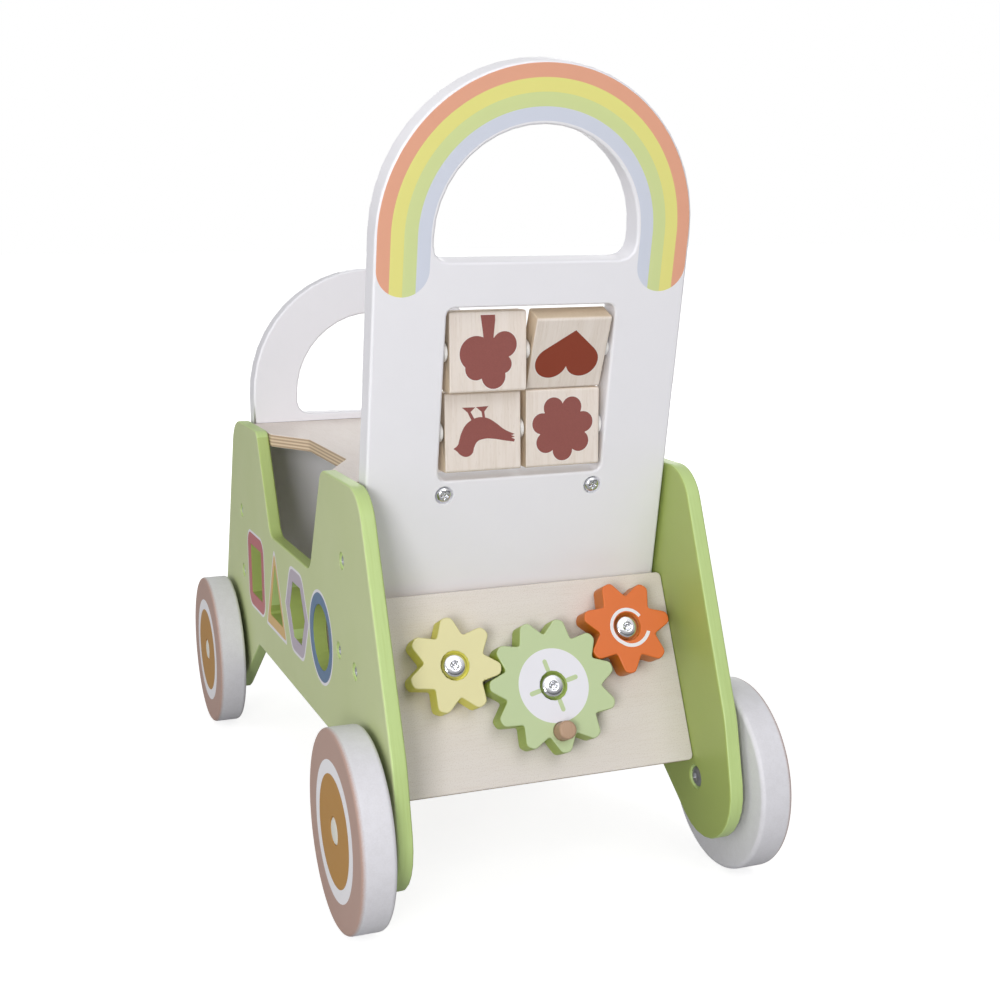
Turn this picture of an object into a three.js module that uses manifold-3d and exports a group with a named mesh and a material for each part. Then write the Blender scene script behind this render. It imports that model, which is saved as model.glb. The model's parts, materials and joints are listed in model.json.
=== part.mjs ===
// A wooden baby walker: four wheels, a shape-sorter body with a seat, a rainbow handle with
// four spinning picture tiles, and a sloping board of three meshed gears.
// Millimetres. +Y is the walking direction, +X the right side, +Z up. The origin is on the
// ground under the middle of the walker.
import * as THREE from 'three';
import { mergeVertices } from 'three/addons/utils/BufferGeometryUtils.js';
import Module from 'manifold-3d';

const wasm = await Module();
wasm.setup();

// ---------------------------------------------------------------- driving dimensions

const clearance = 0.3; // gap left between pieces that touch
const shankClearance = 0.4; // round a fixed screw or bolt, on the radius
const play = 0.5; // round a bolt that a wheel or gear turns on, on the radius
const overcut = 1; // how far a cutter reaches past the face it cuts
const wheelbase = 437.4; // rear axle to front axle
const bodyWidth = 231; // over the outer faces of the two side panels
const sideThickness = 10;
const panelThickness = 18; // handle panel and front panel
const panelSideGap = 2; // arched panels to the side panels

// Wheels and their hardware
const wheelDiameter = 126;
const wheelThickness = 22;
const wheelGap = 4.4; // side panel to wheel
const wheelEdgeRadius = 3;
const axleRadius = 4;
const axleHead = { radius: 7, height: 2.4 };
const axleRecess = { radius: 8.25, depth: 3 };
const spacerRadius = 10;
const hubCap = { radius: 8.5, thickness: 3, recess: 3.2, wall: 2.1, roof: 0.75, crown: 6.8 };

// Side panel outline, heights above the axle line
const sideTop = 204.7;
const sideTopCornerInset = 23.7; // top corner, back from the axle towards the middle
const sideTopCornerRadius = 30;
const sideBend = { out: 37.8, height: 50.2, radius: 80 }; // where the slanting end turns into the foot
const sideFootLean = 11.9; // degrees off vertical below the bend
const footRadius = 39;
const legSlope = 35; // degrees, from the belly down to the foot
const belly = { inset: 95.7, height: 26.2, radius: 18 };
const notch = { bottom: 128.2, halfBottom: 64, halfTop: 103, bottomRadius: 16, topRadius: 12 };

// Shape-sorter holes, front to back: square, triangle, hexagon, circle
const sorter = { height: 86.9, pitch: 71.3, middle: 15 };
const sorterSquare = 41;
const sorterTriangle = 46;
const sorterHexagon = 42; // across flats
const sorterCircle = 46;
const sorterCorner = 2; // radius in the square's and the triangle's corners

// Handle panel, lengths along its face from its bottom edge
const handle = { inset: 79.6, bottom: 44.3, tilt: -12, archCentre: 318.5 };
const archBand = 37; // width of the handle band
const archHoleDrop = 15.7; // the hole's straight bottom, below the arch centre
const archHoleCorner = 10;
const tileWindow = { centre: 218.4, width: 112.5, height: 112.3, radius: 5 };
const handleScrews = [45.2, 109.1];
const seatScrew = {
  along: 152.5,
  spacing: 103,
  radius: 2,
  length: 14, // beyond the panel's back
  headRadius: 5.4,
  headHeight: 3.2,
  headGap: 0.8,
  recess: 2.4,
};

// Spinning tiles on two rods
const tile = { height: 50.6, thickness: 16, edgeRadius: 2, bore: 3.5 };
const tilePitch = 52.5;
const tileRod = { radius: 3, insertion: 12 };
const bead = { radius: 6.2, side: 2.9, middle: 3.2 };
const tileAngles = { upper_left: -11, upper_right: 12.5, lower_left: -12, lower_right: -11 };

// Gear board, lengths along its face from its bottom edge
const gearBoard = { inset: 1.85, bottom: 11.7, tilt: 24, thickness: 9, cornerRadius: 3 };
const gearBoardScrews = [36, 84];
const gearModule = 7.42;
const gearThickness = 16;
const gearLift = 2.2; // back of the gears above the board
const largeGear = { teeth: 11, x: 7.4, along: 58.1, phase: 76, addendum: 2.6, dedendum: 7.8, tip: 3 };
const smallGear = { teeth: 7, addendum: 5, dedendum: 5.8, tip: 3.4 };
const smallGearDirections = { left: 162.6, right: 29.1 };
const toothTipRadius = 3.4;
const toothRootRadius = 1.6;
const gearBolt = { radius: 4, headRadius: 8.25, headHeight: 4, recessRadius: 9.6, recess: 4.6 };
const gearWasherRadius = 10;
const knob = { radius: 6, height: 10, insertion: 8, chamfer: 1.5, orbit: 29.5, angle: -88 };

// Front panel, heights from its bottom edge
const frontPanel = { inset: 53.7, bottom: 32, archCentre: 193.4 };
const frontScrews = [46.3, 97.6];
const seatGroove = 3; // depth of the groove that holds the seat's front edge

// Seat and floor
const seat = { top: 203.2, thickness: 10 };
const seatNotch = { depth: 21, half: 54, slant: 41, innerRadius: 12, outerRadius: 3 };
const floor = { thickness: 6, groove: 4 };

// Screws through the side panels into the board edges
const sideScrew = {
  radius: 2.5,
  headRadius: 5,
  headHeight: 2.6,
  boreRadius: 6,
  bore: 4,
  reach: 25,
};

// Every bolt and screw head, as shares of its own radius and height
const boltHead = { rim: 0.45, crown: 0.72, socket: 0.42, socketFloor: 0.4 };

// ---------------------------------------------------------------- derived sizes

const axleHeight = wheelDiameter / 2;
const axleY = wheelbase / 2;
const innerHalf = bodyWidth / 2 - sideThickness;
const boardHalf = innerHalf - panelSideGap;
const fittedHalf = innerHalf - clearance;
const gearRatio = largeGear.teeth / smallGear.teeth;
const gearDistance = (gearModule * (largeGear.teeth + smallGear.teeth)) / 2;

const radians = THREE.MathUtils.degToRad;

// A board's face runs from its bottom edge along `up`; `out` is its outward normal. Both are
// [Y, Z] pairs, with Z measured from the axle line.
function boardFace(y, z, tilt) {
  const lean = radians(tilt);
  const up = [Math.sin(lean), Math.cos(lean)];
  const out = [-Math.cos(lean), Math.sin(lean)];
  const at = (along, depth) => [
    y + along * up[0] - depth * out[0],
    z + along * up[1] - depth * out[1],
  ];
  return { y, z, tilt, up, out, at };
}

const handleFace = boardFace(-axleY + handle.inset, handle.bottom, handle.tilt);
const gearFace = boardFace(-axleY + gearBoard.inset, gearBoard.bottom, gearBoard.tilt);
const frontFace = boardFace(axleY - frontPanel.inset, frontPanel.bottom, 0);

// The gear board runs up until its back top edge meets the handle panel.
function gearBoardLength() {
  const back = gearFace.at(0, gearBoard.thickness);
  const [outY, outZ] = handleFace.out;
  const away = (back[0] - handleFace.y) * outY + (back[1] - handleFace.z) * outZ;
  const approach = gearFace.up[0] * outY + gearFace.up[1] * outZ;
  return (clearance - away) / approach;
}

const seatBottom = seat.top - seat.thickness;
const floorTop = handle.bottom - clearance;
const floorBottom = floorTop - floor.thickness;

// Y of the handle panel's back face at a height above the axle line.
function handleBackY(height) {
  const foot = handleFace.at(0, panelThickness);
  return foot[0] + ((height - foot[1]) * handleFace.up[0]) / handleFace.up[1];
}

// ---------------------------------------------------------------- shape helpers

// Turns corners [x, y, radius] into points, with each corner rounded by an arc.
function roundedLoop(corners, steps = 4) {
  return corners.flatMap(([x, y, radius = 0], i) => {
    const here = new THREE.Vector2(x, y);
    if (radius === 0) return [here];
    const [beforeX, beforeY] = corners.at(i - 1);
    const [afterX, afterY] = corners[(i + 1) % corners.length];
    const back = new THREE.Vector2(beforeX, beforeY).sub(here).normalize();
    const ahead = new THREE.Vector2(afterX, afterY).sub(here).normalize();
    const half = Math.acos(THREE.MathUtils.clamp(back.dot(ahead), -1, 1)) / 2;
    const middle = back.clone().add(ahead).normalize();
    const centre = here.clone().addScaledVector(middle, radius / Math.sin(half));
    const start = here.clone().addScaledVector(back, radius / Math.tan(half)).sub(centre);
    const end = here.clone().addScaledVector(ahead, radius / Math.tan(half)).sub(centre);
    const turn = Math.atan2(start.cross(end), start.dot(end));
    return Array.from({ length: steps + 1 }, (_, k) =>
      start.clone().rotateAround(new THREE.Vector2(), (turn * k) / steps).add(centre));
  });
}

function circleLoop(x, y, radius, segments = 12, phase = 0) {
  return Array.from({ length: segments }, (_, k) => {
    const angle = phase + (2 * Math.PI * k) / segments;
    return new THREE.Vector2(x + radius * Math.cos(angle), y + radius * Math.sin(angle));
  });
}

function rectangle(x0, y0, x1, y1, radius = 0) {
  return [[x0, y0, radius], [x1, y0, radius], [x1, y1, radius], [x0, y1, radius]];
}

// A flat plate between two heights, with holes.
function plate(outline, low, high, holes = []) {
  const shape = new THREE.Shape(outline);
  shape.holes = holes.map((loop) => new THREE.Path(loop));
  const geometry = new THREE.ExtrudeGeometry(shape, { depth: high - low, bevelEnabled: false });
  geometry.translate(0, 0, low);
  return geometry;
}

// A turned solid about the Z axis from a profile of [radius, height] points.
function turned(profile, segments = 16) {
  const points = profile.map(([radius, height]) => new THREE.Vector2(radius, height));
  const geometry = new THREE.LatheGeometry(points, segments);
  geometry.rotateX(Math.PI / 2);
  return geometry;
}

function ring(inner, outer, low, high, segments = 16) {
  return turned([[inner, low], [outer, low], [outer, high], [inner, high], [inner, low]], segments);
}

function peg(radius, low, high, segments = 12) {
  return turned([[0, low], [radius, low], [radius, high], [0, high]], segments);
}

// A domed bolt: its head stands on height 0 and its shank runs down from there.
function bolt(shankRadius, length, headRadius, headHeight, segments = 12) {
  const body = turned([
    [0, -length],
    [shankRadius, -length],
    [shankRadius, 0],
    [headRadius, 0],
    [headRadius, headHeight * boltHead.rim],
    [headRadius * boltHead.crown, headHeight],
    [0, headHeight],
  ], segments);
  const socketFloor = headHeight * boltHead.socketFloor;
  const socket = peg(headRadius * boltHead.socket, socketFloor, headHeight + overcut, 6);
  return cut(body, [socket]);
}

function solidOf(geometry) {
  const bare = geometry.clone();
  bare.deleteAttribute('normal');
  bare.deleteAttribute('uv');
  const merged = mergeVertices(bare, 1e-4);
  const index = merged.index.array;
  const triVerts = [];
  for (let i = 0; i < index.length; i += 3) {
    const [a, b, c] = index.slice(i, i + 3);
    if (a !== b && b !== c && c !== a) triVerts.push(a, b, c);
  }
  return new wasm.Manifold(new wasm.Mesh({
    numProp: 3,
    vertProperties: new Float32Array(merged.attributes.position.array),
    triVerts: new Uint32Array(triVerts),
  }));
}

function geometryOf(solid) {
  const mesh = solid.getMesh();
  const geometry = new THREE.BufferGeometry();
  geometry.setAttribute('position', new THREE.BufferAttribute(mesh.vertProperties, 3));
  geometry.setIndex(new THREE.BufferAttribute(mesh.triVerts, 1));
  geometry.computeVertexNormals();
  return geometry;
}

function cut(geometry, tools) {
  const solid = tools.reduce((rest, tool) => rest.subtract(solidOf(tool)), solidOf(geometry));
  return geometryOf(solid);
}

function box(x0, x1, y0, y1, z0, z1) {
  const geometry = new THREE.BoxGeometry(x1 - x0, y1 - y0, z1 - z0);
  geometry.translate((x0 + x1) / 2, (y0 + y1) / 2, (z0 + z1) / 2);
  return geometry;
}

// Lays a solid that stands along Z over, so that it lies along X.
function alongX(geometry) {
  geometry.rotateY(Math.PI / 2);
  return geometry;
}

// ---------------------------------------------------------------- scene helpers

const walker = new THREE.Group();
walker.name = 'baby_walker';

// Everything but the wheels' contact with the ground is measured from the axle line.
const body = new THREE.Group();
body.position.z = axleHeight;
walker.add(body);

const looks = {
  greenPaint: { color: 0xa9b77c, roughness: 0.5 },
  whitePaint: { color: 0xe4e4e8, roughness: 0.45 },
  plywood: { color: 0xdcd3c8, roughness: 0.6 },
  birch: { color: 0xdccfbf, roughness: 0.6 },
  beech: { color: 0xb08a72, roughness: 0.6 },
  largeGearPaint: { color: 0xbdd19b, roughness: 0.5 },
  leftGearPaint: { color: 0xe5dcaa, roughness: 0.5 },
  rightGearPaint: { color: 0xe08050, roughness: 0.5 },
  wheelPaint: { color: 0xc9c9c7, roughness: 0.45 },
  whitePlastic: { color: 0xe9e9ec, roughness: 0.4 },
  chrome: { color: 0xd8d8dc, roughness: 0.15, metalness: 1 },
  zinc: { color: 0xb6b6ba, roughness: 0.35, metalness: 1 },
};

function addPiece(parent, name, geometry, look) {
  const mesh = new THREE.Mesh(geometry, new THREE.MeshStandardMaterial(looks[look]));
  mesh.name = name;
  parent.add(mesh);
  return mesh;
}

// A group whose X is the walker's X, Y runs up the board's face and Z is its outward normal.
function boardGroup(face) {
  const group = new THREE.Group();
  group.position.set(0, face.y, face.z);
  group.rotation.x = Math.PI / 2 - radians(face.tilt);
  body.add(group);
  return group;
}

// A group on one side (-1 left, +1 right) whose Z points outwards from the inner face, Y up.
function sideGroup(side) {
  const group = new THREE.Group();
  const alongY = new THREE.Vector3(0, side, 0);
  const up = new THREE.Vector3(0, 0, 1);
  const outwards = new THREE.Vector3(side, 0, 0);
  group.quaternion.setFromRotationMatrix(new THREE.Matrix4().makeBasis(alongY, up, outwards));
  group.position.x = side * innerHalf;
  body.add(group);
  return group;
}

// ---------------------------------------------------------------- side panels

// The corner where the leg's line and the foot's leaning line meet, rounded by the foot.
function footCorner() {
  const leg = new THREE.Vector2(Math.cos(radians(legSlope)), -Math.sin(radians(legSlope)));
  const lean = new THREE.Vector2(Math.sin(radians(sideFootLean)), -Math.cos(radians(sideFootLean)));
  const start = new THREE.Vector2(axleY - belly.inset, belly.height);
  const bend = new THREE.Vector2(axleY + sideBend.out, sideBend.height);
  const reach = bend.clone().sub(start).cross(lean) / leg.cross(lean);
  return start.addScaledVector(leg, reach);
}

function sideOutline() {
  const foot = footCorner();
  const half = [
    [axleY - belly.inset, belly.height, belly.radius],
    [foot.x, foot.y, footRadius],
    [axleY + sideBend.out, sideBend.height, sideBend.radius],
    [axleY - sideTopCornerInset, sideTop, sideTopCornerRadius],
    [notch.halfTop, sideTop, notch.topRadius],
    [notch.halfBottom, notch.bottom, notch.bottomRadius],
  ];
  const mirrored = half.map(([y, z, radius]) => [-y, z, radius]).reverse();
  return roundedLoop([...half, ...mirrored], 10);
}

// Sorter hole loops for one side, at their places along Y and up.
function sorterLoops(side) {
  const { height, pitch, middle } = sorter;
  const place = (slot) => side * (middle + slot * pitch);
  const square = sorterSquare / 2;
  const base = sorterTriangle / 2;
  const squareY = place(1.5);
  const triangleY = place(0.5);
  const hexagonRadius = sorterHexagon / Math.sqrt(3);
  const low = height - square;
  const high = height + square;
  return [
    roundedLoop(rectangle(squareY - square, low, squareY + square, high, sorterCorner), 2),
    roundedLoop([
      [triangleY - base, height - base, sorterCorner],
      [triangleY + base, height - base, sorterCorner],
      [triangleY, height + base, sorterCorner],
    ], 2),
    circleLoop(place(-0.5), height, hexagonRadius, 6),
    circleLoop(place(-1.5), height, sorterCircle / 2, 24),
  ];
}

// Every screw through a side panel: its name and its [Y, height] on the board's mid-plane.
function sideScrewPlaces() {
  const list = (label, face, thickness, alongs) =>
    alongs.map((along, i) => ({
      name: `${label}_${i === 0 ? 'lower' : 'upper'}`,
      at: face.at(along, thickness / 2),
    }));
  return [
    ...list('handle', handleFace, panelThickness, handleScrews),
    ...list('gear_board', gearFace, gearBoard.thickness, gearBoardScrews),
    ...list('front', frontFace, panelThickness, frontScrews),
  ];
}

// The cutter for screws that enter a board's two edges.
function edgeHoles(alongs, depth, half) {
  const holeRadius = sideScrew.radius + shankClearance;
  const bottom = innerHalf - sideScrew.reach - overcut;
  return alongs.flatMap((along) => [-1, 1].map((side) => {
    const hole = alongX(peg(holeRadius, bottom, half + overcut));
    if (side < 0) hole.rotateY(Math.PI);
    hole.translate(0, along, -depth);
    return hole;
  }));
}

function addSidePanel(side, label) {
  const group = sideGroup(side);
  const axles = [-axleY, axleY];
  const screws = sideScrewPlaces();
  const screwHole = sideScrew.radius + shankClearance;
  const holes = [
    ...sorterLoops(side),
    ...axles.map((y) => circleLoop(y, 0, axleRadius + shankClearance, 16)),
    ...screws.map(({ at: [y, z] }) => circleLoop(side * y, z, screwHole)),
  ];
  const recesses = axles.map((y) => {
    const recess = peg(axleRecess.radius, -overcut, axleRecess.depth, 16);
    return recess.translate(y, 0, 0);
  });
  const counterbores = screws.map(({ at: [y, z] }) => {
    const bore = peg(sideScrew.boreRadius, sideThickness - sideScrew.bore, sideThickness + overcut);
    return bore.translate(side * y, z, 0);
  });
  const ends = [side * (floorRear() - clearance), side * (floorFront() + clearance)];
  const [start, end] = ends.sort((a, b) => a - b);
  const low = floorBottom - clearance;
  const groove = box(start, end, low, floorTop + clearance, -overcut, floor.groove);
  const blank = plate(sideOutline(), 0, sideThickness, holes);
  const panel = cut(blank, [...recesses, ...counterbores, groove]);
  addPiece(group, `side_panel_${label}`, panel, 'greenPaint');
  screws.forEach(({ name, at: [y, z] }) => {
    addSideScrew(group, `screw_${label}_${name}`, side * y, z);
  });
}

function addSideScrew(group, name, x, y) {
  const seatHeight = sideThickness - sideScrew.bore + clearance;
  const length = seatHeight + sideScrew.reach;
  const screw = bolt(sideScrew.radius, length, sideScrew.headRadius, sideScrew.headHeight, 12);
  addPiece(group, name, screw, 'zinc').position.set(x, y, seatHeight);
}

// ---------------------------------------------------------------- wheels

function wheelGeometry() {
  const radius = wheelDiameter / 2;
  const edge = wheelEdgeRadius;
  const bore = axleRadius + play;
  const face = wheelThickness;
  const floorOfRecess = face - hubCap.recess;
  return turned([
    [bore, 0],
    [radius - edge, 0],
    [radius - edge * 0.3, edge * 0.3],
    [radius, edge],
    [radius, face - edge],
    [radius - edge * 0.3, face - edge * 0.3],
    [radius - edge, face],
    [hubCap.radius + clearance, face],
    [hubCap.radius + clearance, floorOfRecess],
    [bore, floorOfRecess],
    [bore, 0],
  ], 32);
}

function addWheel(side, y, label) {
  const group = sideGroup(side);
  const wheelInner = sideThickness + wheelGap;
  const capInner = wheelInner + wheelThickness - hubCap.recess + clearance;
  const boltSeat = axleRecess.depth - clearance;
  const boltTip = capInner + hubCap.thickness * 0.6;
  const wheel = addPiece(group, `wheel_${label}`, wheelGeometry(), 'wheelPaint');
  wheel.position.set(side * y, 0, wheelInner);
  const spacerInner = sideThickness + clearance;
  const spacer = ring(axleRadius + clearance, spacerRadius, spacerInner, wheelInner - clearance);
  addPiece(group, `spacer_${label}`, spacer, 'whitePlastic').position.x = side * y;
  const axle = bolt(axleRadius, boltTip - boltSeat, axleHead.radius, axleHead.height, 16);
  axle.rotateX(Math.PI);
  addPiece(group, `axle_bolt_${label}`, axle, 'zinc').position.set(side * y, 0, boltSeat);
  const cap = hubCap.thickness;
  const capBore = axleRadius + shankClearance;
  const capBody = turned([
    [capBore, 0],
    [hubCap.radius, 0],
    [hubCap.radius, hubCap.wall],
    [hubCap.crown, cap],
    [0, cap],
    [0, cap - hubCap.roof],
    [capBore, cap - hubCap.roof],
    [capBore, 0],
  ]);
  addPiece(group, `hub_cap_${label}`, geometryOf(solidOf(capBody)), 'whitePlastic')
    .position.set(side * y, 0, capInner);
}

// ---------------------------------------------------------------- handle and front panels

// A panel with straight sides and a round arched top that carries a hand hole.
function archOutline(centre) {
  const arch = Array.from({ length: 25 }, (_, k) => {
    const angle = (Math.PI * k) / 24;
    return new THREE.Vector2(boardHalf * Math.cos(angle), centre + boardHalf * Math.sin(angle));
  });
  return [new THREE.Vector2(-boardHalf, 0), new THREE.Vector2(boardHalf, 0), ...arch];
}

function archHole(centre) {
  const radius = boardHalf - archBand;
  const arch = Array.from({ length: 21 }, (_, k) => {
    const angle = (Math.PI * k) / 20;
    return new THREE.Vector2(radius * Math.cos(angle), centre + radius * Math.sin(angle));
  });
  const low = centre - archHoleDrop;
  const corners = roundedLoop([
    [-radius, centre, 0],
    [-radius, low, archHoleCorner],
    [radius, low, archHoleCorner],
    [radius, centre, 0],
  ], 3);
  return [...corners.slice(1, -1), ...arch];
}

function addHandlePanel() {
  const group = boardGroup(handleFace);
  const { centre, width, height, radius } = tileWindow;
  const low = centre - height / 2;
  const windowCorners = rectangle(-width / 2, low, width / 2, low + height, radius);
  const { radius: shank, headRadius, headGap, recess: recessDepth } = seatScrew;
  const screwX = [-seatScrew.spacing / 2, seatScrew.spacing / 2];
  const holes = [
    archHole(handle.archCentre),
    roundedLoop(windowCorners, 3),
    ...screwX.map((x) => circleLoop(x, seatScrew.along, shank + clearance)),
  ];
  const blank = plate(archOutline(handle.archCentre), -panelThickness, 0, holes);
  const recesses = screwX.map((x) => {
    const recess = peg(headRadius + headGap, -recessDepth, overcut);
    return recess.translate(x, seatScrew.along, 0);
  });
  const rodEnd = width / 2 + tileRod.insertion + clearance;
  const rodHoles = [-1, 1].map((row) => {
    const hole = alongX(peg(tileRod.radius + clearance, -rodEnd, rodEnd));
    return hole.translate(0, centre + (row * tilePitch) / 2, -panelThickness / 2);
  });
  const screwHoles = edgeHoles(handleScrews, panelThickness / 2, boardHalf);
  const panel = cut(blank, [...recesses, ...rodHoles, ...screwHoles]);
  addPiece(group, 'handle_panel', panel, 'whitePaint');
  screwX.forEach((x, i) => addSeatScrew(group, `seat_screw_${i === 0 ? 'left' : 'right'}`, x));
  addTiles(group);
}

function addSeatScrew(group, name, x) {
  const depth = seatScrew.recess - clearance;
  const length = panelThickness - depth + seatScrew.length;
  const screw = bolt(seatScrew.radius, length, seatScrew.headRadius, seatScrew.headHeight, 16);
  addPiece(group, name, screw, 'chrome').position.set(x, seatScrew.along, -depth);
}

function addFrontPanel() {
  const group = boardGroup(frontFace);
  const centre = frontPanel.archCentre;
  const blank = plate(archOutline(centre), -panelThickness, 0, [archHole(centre)]);
  const seatLow = seatBottom - frontPanel.bottom - clearance;
  const seatHigh = seat.top - frontPanel.bottom + clearance;
  const reach = boardHalf + overcut;
  const groove = box(-reach, reach, seatLow, seatHigh, -seatGroove, overcut);
  const screwHoles = edgeHoles(frontScrews, panelThickness / 2, boardHalf);
  addPiece(group, 'front_panel', cut(blank, [groove, ...screwHoles]), 'whitePaint');
}

// ---------------------------------------------------------------- spinning tiles

function tileGeometry(width) {
  const { height, thickness, edgeRadius, bore } = tile;
  const section = rectangle(-thickness / 2, -height / 2, thickness / 2, height / 2, edgeRadius);
  return alongX(plate(roundedLoop(section, 3), -width / 2, width / 2, [circleLoop(0, 0, bore)]));
}

function addTiles(group) {
  const half = tileWindow.width / 2;
  const sideBead = half - clearance - bead.side / 2;
  const tileInner = bead.middle / 2 + clearance;
  const tileOuter = half - 2 * clearance - bead.side;
  const rodLength = tileWindow.width + 2 * tileRod.insertion;
  for (const [row, level] of [['upper', 0.5], ['lower', -0.5]]) {
    const line = new THREE.Group();
    line.position.set(0, tileWindow.centre + level * tilePitch, -panelThickness / 2);
    group.add(line);
    const rod = alongX(peg(tileRod.radius, -rodLength / 2, rodLength / 2));
    addPiece(line, `tile_rod_${row}`, rod, 'birch');
    for (const [place, x, width] of [
      ['left', -sideBead, bead.side],
      ['middle', 0, bead.middle],
      ['right', sideBead, bead.side],
    ]) {
      const spacer = alongX(ring(tileRod.radius + clearance, bead.radius, -width / 2, width / 2, 12));
      addPiece(line, `tile_bead_${row}_${place}`, spacer, 'whitePlastic').position.x = x;
    }
    for (const [place, side] of [['left', -1], ['right', 1]]) {
      const name = `${row}_${place}`;
      const mesh = addPiece(line, `tile_${name}`, tileGeometry(tileOuter - tileInner), 'birch');
      mesh.position.x = (side * (tileInner + tileOuter)) / 2;
      mesh.rotation.x = radians(tileAngles[name]);
    }
  }
}

// ---------------------------------------------------------------- gear board

function gearOutline({ teeth, addendum, dedendum, tip }, phase) {
  const pitchRadius = (gearModule * teeth) / 2;
  const tipRadius = pitchRadius + addendum;
  const rootRadius = pitchRadius - dedendum;
  const corners = Array.from({ length: teeth }, (_, k) => {
    const middle = radians(phase) + (2 * Math.PI * k) / teeth;
    const gap = middle + Math.PI / teeth;
    const point = (radius, angle, rounding) => [
      radius * Math.cos(angle),
      radius * Math.sin(angle),
      rounding,
    ];
    return [
      point(tipRadius, middle - tip / tipRadius, toothTipRadius),
      point(tipRadius, middle + tip / tipRadius, toothTipRadius),
      point(rootRadius, gap, toothRootRadius),
    ];
  }).flat();
  return roundedLoop(corners, 2);
}

function gearGeometry(gear, phase, extraCuts = []) {
  const low = gearLift;
  const high = gearLift + gearThickness;
  const bore = circleLoop(0, 0, gearBolt.radius + play, 16);
  const blank = plate(gearOutline(gear, phase), low, high, [bore]);
  const recess = peg(gearBolt.recessRadius, high - gearBolt.recess, high + overcut, 16);
  return cut(blank, [recess, ...extraCuts]);
}

function addGear(group, label, gear, x, along, phase, look, extraCuts) {
  const mesh = addPiece(group, `gear_${label}`, gearGeometry(gear, phase, extraCuts), look);
  mesh.position.set(x, along, 0);
  const washer = ring(gearBolt.radius + clearance, gearWasherRadius, clearance, gearLift - clearance);
  addPiece(group, `gear_washer_${label}`, washer, 'whitePlastic').position.set(x, along, 0);
  const headHeight = gearLift + gearThickness - gearBolt.recess + clearance;
  const length = headHeight + gearBoard.thickness - clearance;
  const head = bolt(gearBolt.radius, length, gearBolt.headRadius, gearBolt.headHeight, 16);
  addPiece(group, `gear_bolt_${label}`, head, 'chrome').position.set(x, along, headHeight);
}

// Angle of a small gear's tooth that puts it in mesh with the large gear.
function meshedPhase(direction) {
  const gap = largeGear.phase + 180 / largeGear.teeth;
  return direction + 180 + gearRatio * (direction - gap);
}

function knobPlace() {
  const angle = radians(knob.angle);
  return [knob.orbit * Math.cos(angle), knob.orbit * Math.sin(angle)];
}

function addGearBoard() {
  const group = boardGroup(gearFace);
  const length = gearBoardLength();
  const centres = {
    large: [largeGear.x, largeGear.along],
    ...Object.fromEntries(Object.entries(smallGearDirections).map(([label, direction]) => [label, [
      largeGear.x + gearDistance * Math.cos(radians(direction)),
      largeGear.along + gearDistance * Math.sin(radians(direction)),
    ]])),
  };
  const boltHole = gearBolt.radius + shankClearance;
  const boltHoles = Object.values(centres).map(([x, y]) => circleLoop(x, y, boltHole, 16));
  const corners = rectangle(-fittedHalf, 0, fittedHalf, length, gearBoard.cornerRadius);
  const outline = roundedLoop(corners, 2);
  const blank = plate(outline, -gearBoard.thickness, 0, boltHoles);
  const screwHoles = edgeHoles(gearBoardScrews, gearBoard.thickness / 2, fittedHalf);
  addPiece(group, 'gear_board', cut(blank, screwHoles), 'plywood');

  const face = gearLift + gearThickness;
  const [knobX, knobY] = knobPlace();
  const socketFloor = face - knob.insertion - clearance;
  const socket = peg(knob.radius + clearance, socketFloor, face + overcut, 16);
  socket.translate(knobX, knobY, 0);
  const { phase } = largeGear;
  addGear(group, 'large', largeGear, ...centres.large, phase, 'largeGearPaint', [socket]);
  const knobProfile = [
    [0, face - knob.insertion],
    [knob.radius, face - knob.insertion],
    [knob.radius, face + knob.height - knob.chamfer],
    [knob.radius - knob.chamfer, face + knob.height],
    [0, face + knob.height],
  ];
  addPiece(group, 'crank_knob', turned(knobProfile), 'beech')
    .position.set(largeGear.x + knobX, largeGear.along + knobY, 0);
  for (const label of ['left', 'right']) {
    const smallPhase = meshedPhase(smallGearDirections[label]);
    addGear(group, label, smallGear, ...centres[label], smallPhase, `${label}GearPaint`);
  }
}

// ---------------------------------------------------------------- seat and floor

function addSeat() {
  const rear = handleBackY(seatBottom) + clearance;
  const front = frontFace.y + seatGroove - clearance;
  const { depth, half, slant, innerRadius, outerRadius } = seatNotch;
  const inner = fittedHalf - depth;
  const wide = half + slant;
  const outline = roundedLoop([
    [-fittedHalf, rear, 0],
    [fittedHalf, rear, 0],
    [fittedHalf, -wide, outerRadius],
    [inner, -half, innerRadius],
    [inner, half, innerRadius],
    [fittedHalf, wide, outerRadius],
    [fittedHalf, front, 0],
    [-fittedHalf, front, 0],
    [-fittedHalf, wide, outerRadius],
    [-inner, half, innerRadius],
    [-inner, -half, innerRadius],
    [-fittedHalf, -wide, outerRadius],
  ], 3);
  const blank = plate(outline, seatBottom, seat.top);
  const holes = [-1, 1].map((side) => {
    const tip = -panelThickness - seatScrew.length - overcut;
    const hole = peg(seatScrew.radius + clearance, tip, 0);
    hole.rotateX(Math.PI / 2 - radians(handle.tilt));
    const [y, z] = handleFace.at(seatScrew.along, 0);
    return hole.translate((side * seatScrew.spacing) / 2, y, z);
  });
  addPiece(body, 'seat_board', cut(blank, holes), 'plywood');
}

function floorRear() {
  return handleFace.y;
}

function floorFront() {
  return frontFace.y - clearance;
}

function addFloor() {
  const half = innerHalf + floor.groove - clearance;
  const board = box(-half, half, floorRear(), floorFront(), floorBottom, floorTop);
  addPiece(body, 'floor_board', board, 'plywood');
}

// ---------------------------------------------------------------- assembly

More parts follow.
